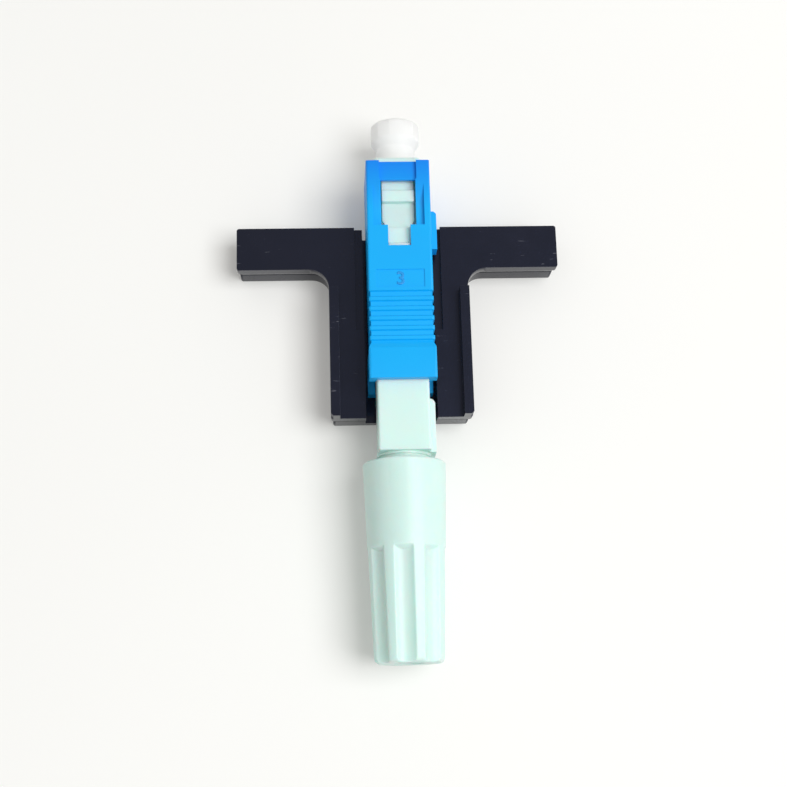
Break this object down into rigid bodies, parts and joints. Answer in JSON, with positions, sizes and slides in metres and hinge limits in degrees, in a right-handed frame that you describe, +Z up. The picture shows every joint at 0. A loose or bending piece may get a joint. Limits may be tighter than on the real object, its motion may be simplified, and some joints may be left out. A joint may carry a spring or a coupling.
{
  "type": "sc fibre connector",
  "caption": "Field-installable SC fibre connector with sliding grip shell, fluted tail nut and dust cap, clipped in its winged opening tool.",
  "frame": {"origin": "middle of the whole object's footprint, on the tool's flat underside", "axes": "+Y along the fibre axis towards the dust cap, +X along the tool's wing on the key side, +Z up away from the tool's underside"},
  "size_m": [0.038, 0.0636, 0.0105],
  "materials": {
    "shell_blue": "satin",
    "mint_plastic": "satin",
    "tool_black": "satin with scuffs",
    "cap_clear": "translucent",
    "zirconia": "polished",
    "flange_brass": "machined",
    "spring_steel": "drawn",
    "splice_grey": "matt",
    "glass_fibre": "bare"
  },
  "bodies": {
    "tool": {"wedge_tool": "tool_black"},
    "connector": {"rear_body": "mint_plastic", "plug_frame": "mint_plastic", "fibre_guide": "splice_grey", "ferrule_spring": "spring_steel"},
    "shell": {"grip_shell": "shell_blue"},
    "splice": {"ferrule": "zirconia", "ferrule_flange": "flange_brass", "fibre_stub": "glass_fibre", "splice_base": "splice_grey", "splice_cover_front": "splice_grey", "splice_cover_rear": "splice_grey", "splice_clip_front": "spring_steel", "splice_clip_rear": "spring_steel"},
    "cap": {"dust_cap": "cap_clear"},
    "collet": {"clamp_collet": "mint_plastic"},
    "nut": {"tail_nut": "mint_plastic"}
  },
  "joints": [
    {"name": "connector_lift", "type": "slide", "parent": "tool", "child": "connector", "axis": [0, 0, 1], "range_m": [0, 0.012]},
    {"name": "shell_slide", "type": "slide", "parent": "connector", "child": "shell", "axis": [0, -1, 0], "range_m": [0, 0.0017]},
    {"name": "ferrule_push", "type": "slide", "parent": "connector", "child": "splice", "axis": [0, -1, 0], "range_m": [0, 0.001], "stiffness_N_per_m": 1200, "springref_m": -0.001, "deforming": ["ferrule_spring"]},
    {"name": "cap_pull", "type": "slide", "parent": "splice", "child": "cap", "axis": [0, 1, 0], "range_m": [0, 0.012]},
    {"name": "nut_travel", "type": "slide", "parent": "connector", "child": "collet", "axis": [0, -1, 0], "range_m": [0, 0.0075]},
    {"name": "nut_turn", "type": "hinge", "parent": "collet", "child": "nut", "pos_m": [0, -0.02, 0.00575], "axis": [0, -1, 0], "range_deg": [0, 2160]}
  ],
  "couplings": [
    {"joint": "nut_turn", "follows": "nut_travel", "rad_per_m": 5026.5}
  ]
}
